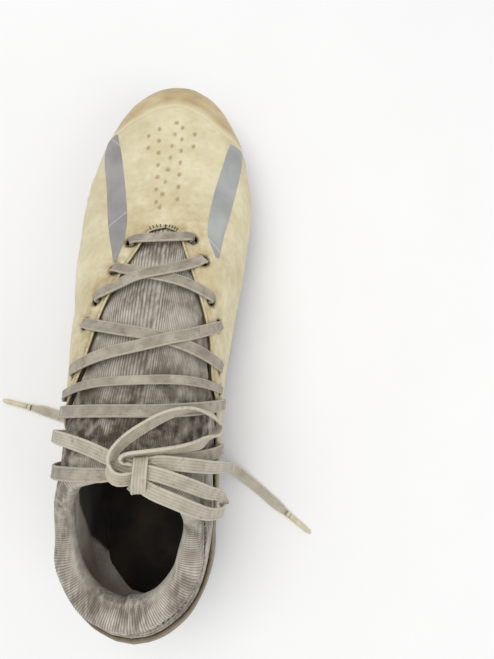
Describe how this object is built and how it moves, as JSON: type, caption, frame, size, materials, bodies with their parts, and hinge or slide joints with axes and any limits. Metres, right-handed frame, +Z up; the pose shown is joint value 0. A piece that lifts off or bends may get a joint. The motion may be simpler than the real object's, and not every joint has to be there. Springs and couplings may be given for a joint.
{
  "type": "soccer cleat",
  "caption": "Left soccer cleat with a studded plate that flexes at the ball, coated upper, knit sock collar and a tied lace bow.",
  "frame": {"origin": "middle of the shoe's own box at ground level, without the free lace ends and loops", "axes": "+Y towards the toe, +X towards the inner (medial) side of a left foot, +Z up"},
  "size_m": [0.1762, 0.281, 0.1109],
  "materials": {
    "coated_skin": "satin, yellowed and scuffed coated textile",
    "printed_blade": "matt printed film",
    "toe_film": "worn film",
    "rib_knit": "lengthwise rib knit",
    "lining_cloth": "ribbed lining cloth",
    "plate_plastic": "moulded, scuffed",
    "stud_plastic": "moulded, scuffed",
    "insole_board": "pressed fibre board",
    "sockliner_foam": "cloth-faced foam",
    "stiffener_sheet": "formed stiffener sheet",
    "eyestay_tape": "woven tape",
    "lace_cloth": "flat woven lace",
    "aglet_film": "rolled film"
  },
  "bodies": {
    "rear_shoe": {"ball_stud_lateral": "stud_plastic", "ball_stud_medial": "stud_plastic", "heel_stud_front_lateral": "stud_plastic", "heel_stud_front_medial": "stud_plastic", "heel_stud_back_lateral": "stud_plastic", "heel_stud_back_medial": "stud_plastic", "outsole_plate_rear": "plate_plastic", "insole_board_rear": "insole_board", "heel_counter": "stiffener_sheet", "quarter_lateral": "coated_skin", "quarter_medial": "coated_skin", "heel_skin": "coated_skin", "vamp_flex_panel": "coated_skin", "leaf_rear_lateral": "printed_blade", "leaf_rear_medial": "printed_blade", "flank_band_lateral": "printed_blade", "flank_band_medial": "printed_blade", "eyestay_lateral": "eyestay_tape", "eyestay_medial": "eyestay_tape", "knit_tongue": "rib_knit", "ankle_knit": "rib_knit", "collar_roll": "rib_knit", "heel_lining": "lining_cloth", "lace_through_eyelets": "lace_cloth", "bow_knot": "lace_cloth", "bow_loop_forward": "lace_cloth", "bow_loop_medial": "lace_cloth", "lace_end_lateral": "lace_cloth", "lace_end_medial": "lace_cloth", "aglet_lateral": "aglet_film", "aglet_medial": "aglet_film"},
    "forefoot": {"outsole_plate_front": "plate_plastic", "toe_stud_lateral": "stud_plastic", "toe_stud_medial": "stud_plastic", "middle_stud_lateral": "stud_plastic", "middle_stud_medial": "stud_plastic", "side_stud_lateral": "stud_plastic", "side_stud_medial": "stud_plastic", "insole_board_front": "insole_board", "toe_vamp": "coated_skin", "toe_puff": "stiffener_sheet", "vamp_lining": "lining_cloth", "toe_cap_film": "toe_film", "leaf_front_lateral": "printed_blade", "leaf_front_medial": "printed_blade", "sockliner_front": "sockliner_foam"},
    "sockliner_heel": {"sockliner_rear": "sockliner_foam"}
  },
  "joints": [
    {"name": "toe_flex", "type": "hinge", "parent": "rear_shoe", "child": "forefoot", "pos_m": [0.0036, 0.0555, 0.0112], "axis": [1, 0, 0], "range_deg": [0, 20], "stiffness_Nm_per_rad": 3, "deforming": ["vamp_flex_panel"]},
    {"name": "sockliner_lift", "type": "hinge", "parent": "rear_shoe", "child": "sockliner_heel", "pos_m": [0.0036, 0.0515, 0.0164], "axis": [-1, 0, 0], "range_deg": [0, 8]}
  ]
}
